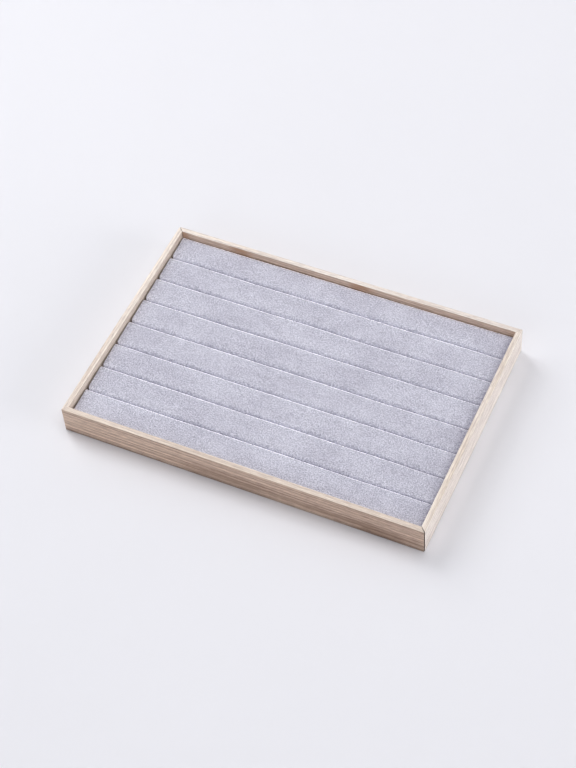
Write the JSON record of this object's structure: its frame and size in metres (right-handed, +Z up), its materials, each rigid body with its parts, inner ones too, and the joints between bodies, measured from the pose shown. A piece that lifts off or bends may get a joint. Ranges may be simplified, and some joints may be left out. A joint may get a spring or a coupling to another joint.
{
  "type": "ring display tray",
  "caption": "Shallow mitred wooden tray with a drop-in pad of padded velvet strips; rings are held in the slots between the strips.",
  "frame": {"origin": "middle of the underside of the tray, on the surface that it stands on", "axes": "+X along the long rails towards the right rail, +Y from the front rail to the back rail, +Z up"},
  "size_m": [0.35, 0.24, 0.03],
  "materials": {
    "pale_wood": "matte",
    "panel_board": "matte",
    "pin_steel": "satin",
    "grey_card": "matte",
    "white_foam": "matte",
    "grey_velvet": "matte"
  },
  "bodies": {
    "tray": {"front_rail": "pale_wood", "right_rail": "pale_wood", "back_rail": "pale_wood", "left_rail": "pale_wood", "base_panel": "panel_board", "panel_pin_01": "pin_steel", "panel_pin_02": "pin_steel", "panel_pin_03": "pin_steel", "panel_pin_04": "pin_steel", "panel_pin_05": "pin_steel", "panel_pin_06": "pin_steel", "panel_pin_07": "pin_steel", "panel_pin_08": "pin_steel", "panel_pin_09": "pin_steel", "panel_pin_10": "pin_steel"},
    "ring_insert": {"insert_board": "grey_card", "foam_strip_1": "white_foam", "foam_strip_2": "white_foam", "foam_strip_3": "white_foam", "foam_strip_4": "white_foam", "foam_strip_5": "white_foam", "foam_strip_6": "white_foam", "foam_strip_7": "white_foam", "foam_strip_8": "white_foam", "velvet_cover_1": "grey_velvet", "velvet_cover_2": "grey_velvet", "velvet_cover_3": "grey_velvet", "velvet_cover_4": "grey_velvet", "velvet_cover_5": "grey_velvet", "velvet_cover_6": "grey_velvet", "velvet_cover_7": "grey_velvet", "velvet_cover_8": "grey_velvet"}
  },
  "joints": [
    {"name": "insert_lift", "type": "slide", "parent": "tray", "child": "ring_insert", "axis": [0, 0, 1], "range_m": [0, 0.06]}
  ]
}
